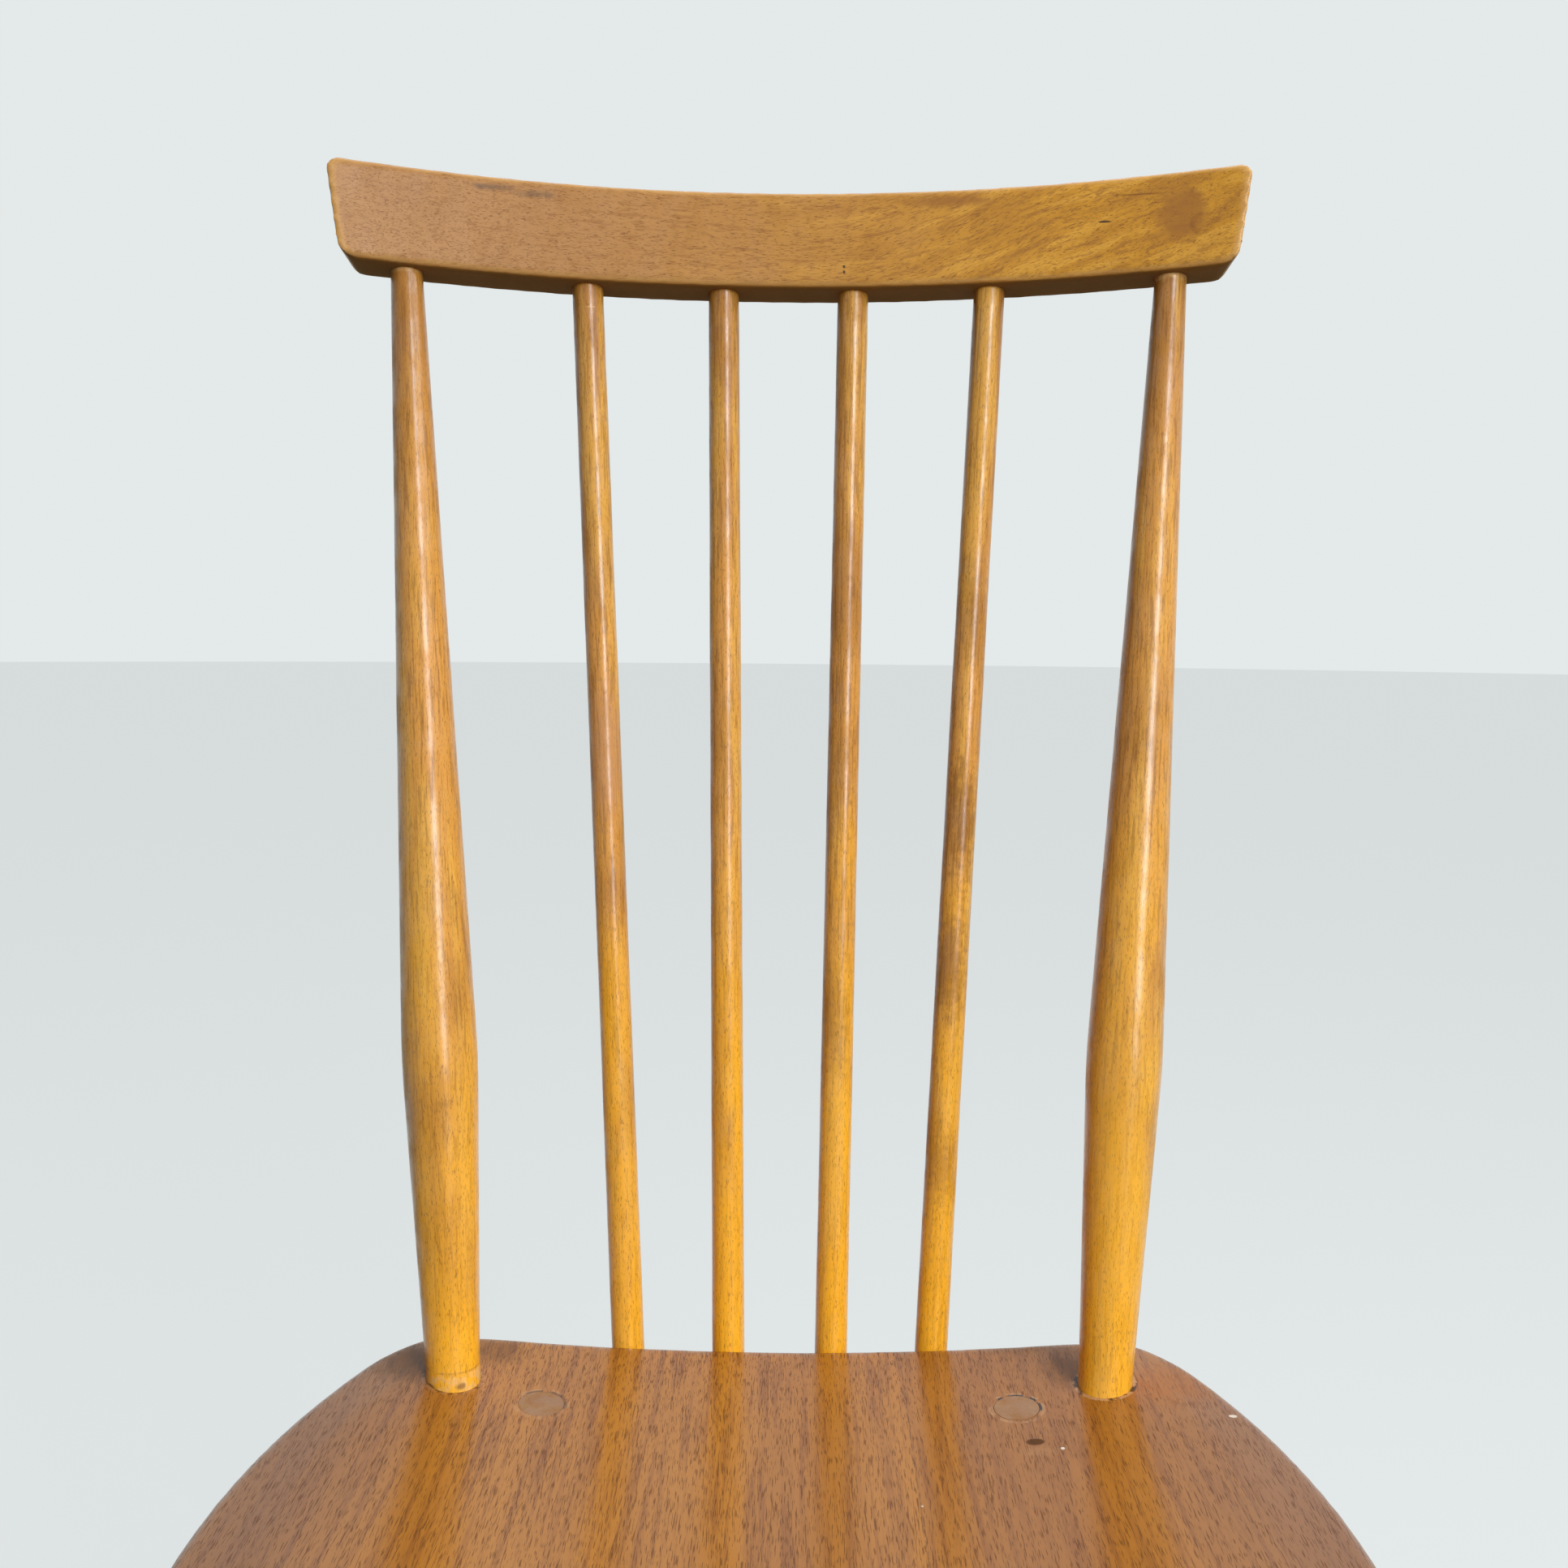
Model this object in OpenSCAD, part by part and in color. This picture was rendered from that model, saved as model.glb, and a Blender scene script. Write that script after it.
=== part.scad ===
// Stick-back kitchen chair. A dished seat of edge-glued boards stands on turned,
// splayed legs with an H of stretchers. Two turned posts and straight spindles
// carry a bent crest rail. Millimetres, +Z up, the sitter faces -Y. The origin is
// on the floor, under the middle of the chair's outer box.

/* [Seat] */
// Width of the seat at its widest place
seat_w = 395; // [325:1:480]
// Depth of the seat from front edge to back edge
seat_d = 392; // [325:1:475]
// Thickness of the seat blank
seat_t = 28; // [23:0.5:34]
// Height of the seat's rim above the floor
seat_h = 432; // [360:1:520]
// Distance from the back edge to the widest place
seat_widest = 178; // [150:1:205]
// Radius of the side curves behind the widest place
side_r = 355; // [300:1:430]
// Radius of the side curves in front of the widest place
front_side_r = 640; // [500:5:800]
// Radius of the rear corners
rear_corner_r = 70; // [58:1:84]
// Radius of the front corners
front_corner_r = 62; // [50:1:75]
// Radius of the front edge's bow
front_bow_r = 900; // [700:10:1200]
// Radius that eases the seat's edges
seat_edge_r = 4; // [2:0.5:6]
// Depth of the hollow in the seat
dish_depth = 9.4; // [6:0.1:12]
// Radius of the hollow
dish_r = 1550; // [1250:10:1900]
// Distance from the back edge to the deepest place
dish_back = 136; // [110:1:165]
// Width of the falling band behind the rear rim
bevel_w = 19; // [16:0.5:23]
// Slope of that band
bevel_angle = 32; // [26:1:38]
// Distance from the middle to the bend of the rear rim at its shoulders
shoulder_x = 127; // [105:1:150]
// Radius of that bend
shoulder_r = 163; // [135:1:195]
// Place of the right glue line, from the middle
seam_right = 51; // [44:0.5:56]
// Place of the left glue line, from the middle
seam_left = 43; // [36:0.5:52]
// Thickness of a glue line
glue_line = 0.1; // [0.05:0.05:0.3]

/* [Back] */
// Height of the crest rail's underside above the seat's rim
back_h = 453.2; // [380:1:545]
// Lean of the middle spindles
back_rake = 10.6; // [8:0.1:13]
// Diameter of a spindle
spindle_dia = 14; // [11.5:0.5:15]
// Distance from the seat's back edge to the spindles' feet
spindle_back = 10.5; // [9.5:0.1:11.5]
// Distance from the middle to an inner spindle's foot
inner_foot_x = 22.1; // [18:0.1:27]
// Distance from the middle to an outer spindle's foot
outer_foot_x = 65.3; // [59:0.1:78]
// Distance from the middle to an inner spindle's top
inner_top_x = 29.5; // [24:0.1:36]
// Distance from the middle to an outer spindle's top
outer_top_x = 91; // [75:0.1:110]
// Diameter of a post at the seat
post_foot_dia = 21.8; // [18:0.1:25]
// Diameter at which a post's two tapers would meet
post_knee_dia = 31.4; // [26:0.1:37]
// Diameter of a post at the crest rail
post_top_dia = 14.3; // [12:0.1:15.5]
// Height of a post's thickest place above the seat
post_knee_h = 128; // [105:1:155]
// Length over which a post's thickest place is rounded
post_knee_round = 26; // [15:1:40]
// Length of a post's straight stretch beside the seat and the rail
post_straight = 5; // [3:0.5:8]
// Distance from the seat's widest half to a post's foot
post_inset = 65.3; // [54:0.1:78]
// Distance from the seat's back edge to a post's foot
post_back = 52.1; // [43:0.1:62]
// Outward lean of a post
post_splay = 4.67; // [3.5:0.1:5.6]

/* [Crest rail] */
// Height of the crest rail's board
crest_h = 44.8; // [36:0.1:52]
// Thickness of the board
crest_t = 22; // [19.5:0.1:26]
// Radius of the board's bend, at the middle of its thickness
crest_r = 633; // [530:1:760]
// Backward tilt of the board
crest_tilt = 10.4; // [8.5:0.1:12.5]
// Length that the board runs past each post
crest_overhang = 32.3; // [20:0.1:35]
// Inward slant of its ends
crest_end_slant = 9; // [6:0.5:12]
// Radius of its upper corners
crest_top_corner_r = 6; // [4:0.5:9]
// Radius of its lower corners
crest_low_corner_r = 9; // [8:0.5:14]
// Radius that eases its long edges
crest_edge_r = 3; // [2:0.5:4.5]

/* [Legs] */
// Diameter of the tenon that shows in the seat
leg_tenon_dia = 18; // [15:0.1:21]
// Diameter of a leg under the seat
leg_top_dia = 23; // [21.5:0.5:27]
// Diameter at which a leg's two tapers would meet
leg_knee_dia = 34; // [28:0.5:41]
// Diameter of a leg at the floor
leg_foot_dia = 21; // [17.5:0.5:25]
// Height of a leg's thickest place above the floor
leg_knee_h = 190; // [158:1:228]
// Length over which a leg's thickest place is rounded
leg_knee_round = 24; // [14:1:36]
// Distance from the seat's widest half to a rear leg
rear_leg_inset = 103.1; // [90:0.1:120]
// Distance from the seat's back edge to a rear leg
rear_leg_back = 66.5; // [60:0.1:80]
// Distance from the seat's widest half to a front leg
front_leg_inset = 74; // [62:0.5:88]
// Distance from the seat's front edge to a front leg
front_leg_front = 76; // [64:0.5:90]
// Outward lean of every leg
leg_splay = 8; // [6:0.5:9.5]
// Backward lean of the rear legs
rear_leg_rake = 9; // [7:0.5:11]
// Forward lean of the front legs
front_leg_rake = 5; // [3.5:0.5:6]

/* [Stretchers] */
// Height of the stretchers above the floor
stretcher_h = 165; // [138:1:198]
// Diameter of a stretcher at its middle
stretcher_dia = 22; // [20:0.5:26]
// Length of a stretcher's thickest stretch
stretcher_flat = 40; // [24:1:60]
// Diameter of a stretcher's ends
stretcher_end_dia = 13; // [11:0.5:15]
// Length that an end runs past the axis of the piece it enters
stretcher_past = 2; // [1.5:0.5:3]

/* [Fits] */
// Gap round each glued end, on the radius
glue_gap = 0.05; // [0.03:0.01:0.1]
// Gap behind each blind end
end_gap = 0.5; // [0.3:0.1:1]
// Wood left below a blind socket in the seat
socket_floor = 6; // [4:0.5:8]
// Depth of the sockets in the crest rail
crest_socket = 24; // [18:0.5:30]
// Chamfer on the ends of turned pieces
end_chamfer = 1; // [0.5:0.1:1.5]

/* [Hidden] */
$fn = 96;
SEAT_COLOUR = "#a8734a";
RAIL_COLOUR = "#b47f4b";
TURNED_COLOUR = "#b5742c";
LEG_COLOUR = "#a9692b";
LEFT = -1;
RIGHT = 1;
// Longer than any piece, for cutting shapes
FAR = 900;
// Overlap that makes a cut clean
OVER = 1;
// Overlap of a corner's rounding with the faces that it joins
BLEND = 0.04;
// Steps of each arc of the seat's outline
ARC_STEPS = 9;
// Steps of the eased edge, in degrees of its quarter circle
EDGE_STEPS = [0, 45, 90];
// Steps of the curve that rounds a turned piece's thickest place
KNEE_STEPS = 4;
// Turn of a round shape about its own axis, which keeps its seam off the cuts it meets
SEAM_TURN = 45;
// Where an inner and an outer spindle stand, from the middle: [foot, top]
INNER = [inner_foot_x, inner_top_x];
OUTER = [outer_foot_x, outer_top_x];

half_w = seat_w / 2;
underside_z = seat_h - seat_t;

// The hollow meets the band behind the rear rim, which then falls to the spindles' feet.
rim_dish_r = sqrt(pow(dish_r, 2) - pow(dish_back - bevel_w, 2));
rim_dip = dish_depth - dish_r + rim_dish_r;
foot_drop = (bevel_w - spindle_back) * tan(bevel_angle);

// The outer box runs from the seat's front edge to the top of the crest rail's back.
feet_to_crest = tan(back_rake) * (back_h + rim_dip + foot_drop);
crest_back_y = feet_to_crest + crest_t / 2 * cos(crest_tilt)
    + (crest_h - crest_edge_r) * sin(crest_tilt) + crest_edge_r * (1 - cos(crest_tilt));
box_d = seat_d - spindle_back + crest_back_y;
back_y = box_d / 2 - crest_back_y + spindle_back;
front_y = back_y - seat_d;
feet_y = back_y - spindle_back;
rim_y = back_y - bevel_w;
crest_foot = [0, feet_y + feet_to_crest, seat_h + back_h];

// The hollow: a ball whose lowest point is the seat's deepest place.
dish_centre = [0, back_y - dish_back, seat_h - dish_depth + dish_r];

function top_z(x, y) = min(
    seat_h,
    dish_centre.z - sqrt(pow(dish_r, 2) - pow(x, 2) - pow(y - dish_centre.y, 2))
);

// A point of the crest rail: x across, off behind the middle of the board, up its height.
function rail_point(x, off, up) =
    let (r = crest_r - off, local_y = off - (r - sqrt(pow(r, 2) - pow(x, 2))))
    crest_foot + [
        x,
        local_y * cos(crest_tilt) + up * sin(crest_tilt),
        up * cos(crest_tilt) - local_y * sin(crest_tilt)
    ];

// Feet and tops of the upright pieces, on their axes.
function spindle_foot(x) = [x, feet_y, top_z(x, rim_y) - foot_drop];
function post_foot(side) =
    let (x = half_w - post_inset, y = back_y - post_back)
    [side * x, y, top_z(x, y)];
post_top_x = half_w - post_inset + back_h * tan(post_splay);
function post_top(side) = rail_point(side * post_top_x, 0, 0);
crest_half = post_top_x + crest_overhang;

// A leg's axis from the seat's top to the floor.
rear_leg_x = half_w - rear_leg_inset;
rear_leg_y = back_y - rear_leg_back;
front_leg_x = half_w - front_leg_inset;
front_leg_y = front_y + front_leg_front;
function leg_top(x, y) = [x, y, top_z(x, y)];
function leg_foot(x, y, rake) =
    let (z = top_z(x, y))
    [x + sign(x) * z * tan(leg_splay), y + z * tan(rake), 0];
function rear_axis(side) = [
    leg_foot(side * rear_leg_x, rear_leg_y, rear_leg_rake),
    leg_top(side * rear_leg_x, rear_leg_y)
];
function front_axis(side) = [
    leg_foot(side * front_leg_x, front_leg_y, -front_leg_rake),
    leg_top(side * front_leg_x, front_leg_y)
];
function at_height(axis, z) =
    axis[0] + (axis[1] - axis[0]) * (z - axis[0].z) / (axis[1].z - axis[0].z);
function side_axis(side) =
    [at_height(front_axis(side), stretcher_h), at_height(rear_axis(side), stretcher_h)];
function middle(axis) = (axis[0] + axis[1]) / 2;
cross_axis = [middle(side_axis(LEFT)), middle(side_axis(RIGHT))];

function span(axis) = norm(axis[1] - axis[0]);

// Stands what is drawn up +Z on the axis, with its foot at the axis's start.
module on_axis(axis) {
    d = axis[1] - axis[0];
    translate(axis[0])
        rotate([0, acos(d.z / norm(d)), atan2(d.y, d.x)])
            children();
}

// A round hole round the axis, from s0 to s1 along it.
module hole(axis, dia, s0, s1) {
    on_axis(axis)
        translate([0, 0, s0])
            rotate(SEAM_TURN)
                cylinder(h = s1 - s0, d = dia + 2 * glue_gap);
}

// A turned solid from a list of [height, diameter] pairs.
module turned(profile) {
    last = len(profile) - 1;
    rotate(SEAM_TURN)
        rotate_extrude()
            polygon(concat(
                [[0, profile[0][0]]],
                [for (p = profile) [p[1] / 2, p[0]]],
                [[0, profile[last][0]]]
            ));
}

// The [height, diameter] pairs that round the corner at height s, where a taper that
// widens by low for each millimetre meets one that narrows by high.
function knee(s, dia, low, high, round_length) =
    let (
        r = round_length / 2,
        start = [s - r, dia - r * low],
        corner = [s, dia],
        end = [s + r, dia - r * high]
    )
    [for (i = [0:KNEE_STEPS])
        let (t = i / KNEE_STEPS)
        pow(1 - t, 2) * start + 2 * t * (1 - t) * corner + pow(t, 2) * end];

// ---- Seat ----

// An arc's points after its first, which ends the arc before it.
function arc(centre, r, a0, a1) =
    [for (i = [1:ARC_STEPS])
        let (a = a0 + (a1 - a0) * i / ARC_STEPS)
        centre + r * [cos(a), sin(a)]];
function heading(a, b) = atan2(b.y - a.y, b.x - a.x);

// The outline's arcs touch each other, so each corner's centre follows from its neighbours.
side_c = [half_w - side_r, back_y - seat_widest];
rear_c = [
    side_c.x + sqrt(pow(side_r - rear_corner_r, 2) - pow(seat_widest - rear_corner_r, 2)),
    back_y - rear_corner_r
];
front_side_c = [half_w - front_side_r, back_y - seat_widest];
bow_c = [0, front_y + front_bow_r];
reach_side = front_side_r - front_corner_r;
reach_bow = front_bow_r - front_corner_r;
centres_apart = norm(bow_c - front_side_c);
along_centres = (pow(reach_side, 2) - pow(reach_bow, 2) + pow(centres_apart, 2))
    / (2 * centres_apart);
off_centres = sqrt(pow(reach_side, 2) - pow(along_centres, 2));
centres_dir = (bow_c - front_side_c) / centres_apart;
front_c = front_side_c + centres_dir * along_centres
    + [centres_dir.y, -centres_dir.x] * off_centres;

function half_outline(inset) = concat(
    [bow_c - [0, front_bow_r - inset]],
    arc(bow_c, front_bow_r - inset, -90, heading(bow_c, front_c)),
    arc(front_c, front_corner_r - inset, heading(bow_c, front_c),
        heading(front_side_c, front_c)),
    arc(front_side_c, front_side_r - inset, heading(front_side_c, front_c), 0),
    arc(side_c, side_r - inset, 0, heading(side_c, rear_c)),
    arc(rear_c, rear_corner_r - inset, heading(side_c, rear_c), 90)
);
function outline(inset) =
    let (h = half_outline(inset), n = len(h))
    concat(h, [for (i = [n - 1:-1:1]) [-h[i].x, h[i].y]]);

module seat_blank() {
    hull()
        for (a = EDGE_STEPS) {
            inset = seat_edge_r * (1 - sin(a));
            rise = seat_edge_r * (1 - cos(a));
            translate([0, 0, underside_z + rise])
                linear_extrude(seat_t - 2 * rise)
                    polygon(outline(inset));
        }
}

module dish() {
    translate(dish_centre)
        sphere(r = dish_r, $fn = 360);
}

// The falling band behind the rear rim follows the hollow and drops at the shoulders.
// It is cut along its own slope, so a height is seen shortened by the slope's cosine.
module rear_band_cut() {
    shorten = cos(bevel_angle);
    translate([0, rim_y, seat_h])
        rotate([90 - bevel_angle, 0, 0])
            translate([0, 0, -FAR])
                linear_extrude(FAR)
                    difference() {
                        translate([-seat_w, -seat_t])
                            square([2 * seat_w, 2 * seat_t]);
                        difference() {
                            union() {
                                translate([-shoulder_x, -2 * seat_t])
                                    square([2 * shoulder_x, 2 * seat_t]);
                                for (side = [LEFT, RIGHT])
                                    translate([side * shoulder_x, -shoulder_r])
                                        circle(r = shoulder_r, $fn = 180);
                            }
                            translate([0, (rim_dish_r - rim_dip * pow(shorten, 2)) / shorten])
                                circle(r = rim_dish_r / shorten, $fn = 720);
                        }
                    }
}

module sockets_in_seat() {
    for (side = [LEFT, RIGHT]) {
        for (axis = [rear_axis(side), front_axis(side)])
            hole(axis, leg_tenon_dia, span(axis) - 2 * seat_t, span(axis) + seat_t);
        hole(post_axis(side), post_foot_dia, -end_gap, 2 * seat_t);
        for (place = [INNER, OUTER])
            hole(spindle_axis(side, place), spindle_dia, -end_gap, 2 * seat_t);
    }
}

module seat() {
    difference() {
        seat_blank();
        dish();
        rear_band_cut();
        sockets_in_seat();
    }
}

module seat_board(x0, x1) {
    color(SEAT_COLOUR)
        intersection() {
            seat();
            translate([x0, -FAR, 0])
                cube([x1 - x0, 2 * FAR, FAR]);
        }
}

module seat_board_left() {
    seat_board(-seat_w, -seam_left - glue_line / 2);
}

module seat_board_middle() {
    seat_board(-seam_left + glue_line / 2, seam_right - glue_line / 2);
}

module seat_board_right() {
    seat_board(seam_right + glue_line / 2, seat_w);
}

// ---- Crest rail ----

// What is cut from the board's right end, seen from the front: all that lies past the
// slanted end, and what lies outside the circle in each rounded corner.
module crest_end_cut() {
    s = crest_end_slant;
    out = [cos(s), -sin(s)];
    corner = [crest_half, crest_h];
    translate(corner)
        rotate(-s)
            translate([0, -2 * crest_h])
                square([crest_h, 4 * crest_h]);
    for (c = [[crest_low_corner_r, -1], [crest_top_corner_r, 1]]) {
        r = c[0];
        v = [0, c[1]];
        z = c[1] < 0 ? r : crest_h - r;
        centre = [crest_half - (crest_h - z) * tan(s) - r / cos(s), z] + BLEND * (out + v);
        difference() {
            polygon([centre, centre + 2 * r * v, centre + 2 * r * (v + out),
                centre + 2 * r * out]);
            translate(centre)
                circle(r = r);
        }
    }
}

// The board's section, with its long edges eased.
module crest_section() {
    e = crest_edge_r;
    translate([crest_r - crest_t / 2, 0]) {
        translate([e, 0])
            square([crest_t - 2 * e, crest_h]);
        translate([0, e])
            square([crest_t, crest_h - 2 * e]);
        for (x = [e, crest_t - e], y = [e, crest_h - e])
            translate([x, y])
                circle(r = e, $fn = 48);
    }
}

module crest_rail() {
    // The bent board is longer than the rail, and the end cuts bring it to length
    sweep = 2 * asin((crest_half + crest_overhang) / crest_r);
    color(RAIL_COLOUR)
        difference() {
            translate(crest_foot)
                rotate([-crest_tilt, 0, 0])
                    difference() {
                        translate([0, -crest_r, 0])
                            rotate([0, 0, 90 - sweep / 2])
                                rotate_extrude(angle = sweep, $fn = 360)
                                    crest_section();
                        for (side = [LEFT, RIGHT])
                            mirror([side == LEFT ? 1 : 0, 0, 0])
                                translate([0, crest_r / 2, 0])
                                    rotate([90, 0, 0])
                                        linear_extrude(crest_r)
                                            crest_end_cut();
                    }
            for (side = [LEFT, RIGHT]) {
                socket_in_rail(post_axis(side), post_top_dia);
                for (place = [INNER, OUTER])
                    socket_in_rail(spindle_axis(side, place), spindle_dia);
            }
        }
}

module socket_in_rail(axis, dia) {
    hole(axis, dia, span(axis) - crest_socket - crest_h, span(axis) + end_gap);
}

// ---- Posts and spindles ----

// An axis from the bottom of a piece's socket in the seat to the top of its socket
// in the crest rail, through the piece's foot and top.
function upright_axis(foot, top) =
    let (
        d = (top - foot) / norm(top - foot),
        down = (foot.z - underside_z - socket_floor) / d.z
    )
    [foot - d * down, top + d * crest_socket];
function spindle_axis(side, place) =
    upright_axis(spindle_foot(side * place[0]), rail_point(side * place[1], 0, 0));
function post_axis(side) = upright_axis(post_foot(side), post_top(side));

module spindle(side, place) {
    axis = spindle_axis(side, place);
    length = span(axis);
    c = end_chamfer;
    color(TURNED_COLOUR)
        on_axis(axis)
            turned([
                [0, spindle_dia - 2 * c],
                [c, spindle_dia],
                [length - c, spindle_dia],
                [length, spindle_dia - 2 * c]
            ]);
}

module post(side) {
    axis = post_axis(side);
    length = span(axis);
    foot_s = norm(post_foot(side) - axis[0]);
    knee_s = foot_s + post_knee_h;
    top_s = length - crest_socket;
    c = end_chamfer;
    low_s = foot_s + post_straight;
    high_s = top_s - post_straight;
    low_taper = (post_knee_dia - post_foot_dia) / (knee_s - low_s);
    high_taper = (post_knee_dia - post_top_dia) / (high_s - knee_s);
    color(TURNED_COLOUR)
        on_axis(axis)
            turned(concat(
                [[0, post_foot_dia - 2 * c], [c, post_foot_dia], [low_s, post_foot_dia]],
                knee(knee_s, post_knee_dia, low_taper, high_taper, post_knee_round),
                [[high_s, post_top_dia], [length - c, post_top_dia]],
                [[length, post_top_dia - 2 * c]]
            ));
}

module post_left() {
    post(LEFT);
}

module post_right() {
    post(RIGHT);
}

module spindle_outer_left() {
    spindle(LEFT, OUTER);
}

module spindle_inner_left() {
    spindle(LEFT, INNER);
}

module spindle_inner_right() {
    spindle(RIGHT, INNER);
}

module spindle_outer_right() {
    spindle(RIGHT, OUTER);
}

// ---- Legs and stretchers ----

// A leg stands on the floor plane and its tenon is flush with the seat's hollow.
module leg(axis, side) {
    length = span(axis);
    lean = acos(axis[1].z / length);
    knee_s = leg_knee_h / cos(lean);
    neck_s = underside_z / cos(lean) - leg_top_dia / 2 * tan(lean) - OVER;
    shoulder = (leg_top_dia - leg_tenon_dia) / 2;
    below = leg_foot_dia * tan(lean);
    low_taper = (leg_knee_dia - leg_foot_dia) / knee_s;
    high_taper = (leg_knee_dia - leg_top_dia) / (neck_s - shoulder - knee_s);
    color(LEG_COLOUR)
        difference() {
            on_axis(axis)
                turned(concat(
                    [[-below, leg_foot_dia - below * low_taper]],
                    knee(knee_s, leg_knee_dia, low_taper, high_taper, leg_knee_round),
                    [[neck_s - shoulder, leg_top_dia], [neck_s, leg_tenon_dia]],
                    [[length + leg_tenon_dia, leg_tenon_dia]]
                ));
            translate([-FAR, -FAR, -FAR])
                cube([2 * FAR, 2 * FAR, FAR]);
            translate([-FAR, -FAR, seat_h])
                cube([2 * FAR, 2 * FAR, FAR]);
            dish();
            stretcher_holes(side_axis(side));
        }
}

module leg_rear_left() {
    leg(rear_axis(LEFT), LEFT);
}

module leg_rear_right() {
    leg(rear_axis(RIGHT), RIGHT);
}

module leg_front_left() {
    leg(front_axis(LEFT), LEFT);
}

module leg_front_right() {
    leg(front_axis(RIGHT), RIGHT);
}

// The two blind holes that a stretcher's ends fill. The stretcher runs between the
// axes of the pieces it enters, and a little past them.
module stretcher_holes(axis) {
    reach = stretcher_past + end_gap;
    hole(axis, stretcher_end_dia, -reach, leg_knee_dia);
    hole(axis, stretcher_end_dia, span(axis) - leg_knee_dia, span(axis) + reach);
}

// A stretcher swells to its middle from where its ends leave the wood.
module stretcher(axis, straight) {
    length = span(axis);
    c = end_chamfer;
    color(LEG_COLOUR)
        on_axis(axis)
            turned([
                [-stretcher_past, stretcher_end_dia - 2 * c],
                [-stretcher_past + c, stretcher_end_dia],
                [straight, stretcher_end_dia],
                [(length - stretcher_flat) / 2, stretcher_dia],
                [(length + stretcher_flat) / 2, stretcher_dia],
                [length - straight, stretcher_end_dia],
                [length + stretcher_past - c, stretcher_end_dia],
                [length + stretcher_past, stretcher_end_dia - 2 * c]
            ]);
}

module side_stretcher(side) {
    difference() {
        stretcher(side_axis(side), leg_knee_dia / 2 + OVER);
        stretcher_holes(cross_axis);
    }
}

module stretcher_left() {
    side_stretcher(LEFT);
}

module stretcher_right() {
    side_stretcher(RIGHT);
}

module stretcher_cross() {
    stretcher(cross_axis, stretcher_dia / 2 + OVER);
}

seat_board_left();
seat_board_middle();
seat_board_right();
crest_rail();
post_left();
post_right();
spindle_outer_left();
spindle_inner_left();
spindle_inner_right();
spindle_outer_right();
leg_rear_left();
leg_rear_right();
leg_front_left();
leg_front_right();
stretcher_left();
stretcher_right();
stretcher_cross();
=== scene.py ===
import math

import bpy
import numpy as np
from mathutils import Matrix, Vector


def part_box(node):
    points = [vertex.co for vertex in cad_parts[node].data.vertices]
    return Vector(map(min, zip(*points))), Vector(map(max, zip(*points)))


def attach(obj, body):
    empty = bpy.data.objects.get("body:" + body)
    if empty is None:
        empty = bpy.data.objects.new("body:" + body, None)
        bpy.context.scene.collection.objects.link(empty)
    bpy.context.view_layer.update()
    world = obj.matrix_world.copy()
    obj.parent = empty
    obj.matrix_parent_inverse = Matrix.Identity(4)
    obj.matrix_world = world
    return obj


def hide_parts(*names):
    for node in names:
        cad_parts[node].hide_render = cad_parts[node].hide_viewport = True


bl_info = {
    "name": "Stick-back Chair",
    "version": (1, 0, 0),
    "blender": (4, 5, 0),
    "location": "3D View > Sidebar > Chair",
    "description": "Models a worn, varnished stick-back chair round its frame",
    "category": "Add Mesh",
}

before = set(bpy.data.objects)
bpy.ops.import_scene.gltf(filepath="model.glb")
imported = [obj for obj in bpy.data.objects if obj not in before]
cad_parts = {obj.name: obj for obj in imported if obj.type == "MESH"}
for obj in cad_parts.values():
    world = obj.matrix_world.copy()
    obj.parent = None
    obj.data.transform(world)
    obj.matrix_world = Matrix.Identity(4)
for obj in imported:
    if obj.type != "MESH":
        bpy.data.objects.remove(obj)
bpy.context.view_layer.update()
BODY = "root"
BOARDS = ("seat_board_left", "seat_board_middle", "seat_board_right")
RAIL = "crest_rail"
POSTS = ("post_left", "post_right")
SPINDLES = (
    "spindle_outer_left", "spindle_inner_left",
    "spindle_inner_right", "spindle_outer_right",
)
STICKS = POSTS + SPINDLES
LEGS = ("leg_rear_left", "leg_rear_right", "leg_front_left", "leg_front_right")
SIDE_STRETCHERS = ("stretcher_left", "stretcher_right")
CROSS_STRETCHER = "stretcher_cross"
MM = 0.001
# The middle of the rail's lower front edge, and how its front face leans and ends
RAIL_FOOT = (0, 224.9 * MM, 885.2 * MM)
RAIL_TILT = math.radians(10.4)
RAIL_HEIGHT = 44.8 * MM
RAIL_END_SLANT = math.radians(9)
# The glue lines of the seat, across X
LEFT_SEAM = -43 * MM
RIGHT_SEAM = 51 * MM
# Where the tenons of the legs have come open
BACKWARD = (0.5, 0.87, 0)
# A vertex this close to a plane or a ring of the frame lies on it
NEAR = 0.05 * MM
# How far a drill runs on past the seat's faces
DRILL_PAST = 60 * MM
# How far a leg is turned on past its foot and its tenon, before they are cut
LEG_PAST = 8 * MM
# What a turned piece's own coordinates are kept as, on its points
OWN = "own"
# Where the lamps stand, their widths and heights, and what they face
TALL_LAMP_AT, TALL_LAMP_SIZE = (1.05, -2, 1.9), (0.6, 1.7)
TOP_LAMP_AT, TOP_LAMP_SIZE = (1, -0.3, 2.2), (1.2, 1.2)
LAMPS_FACE = (0, 0.1, 0.65)
BACK_LIGHT_RUNS = (-0.3, -1, -1.9)
BACK_LIGHT_ANGLE = math.radians(40)

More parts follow.
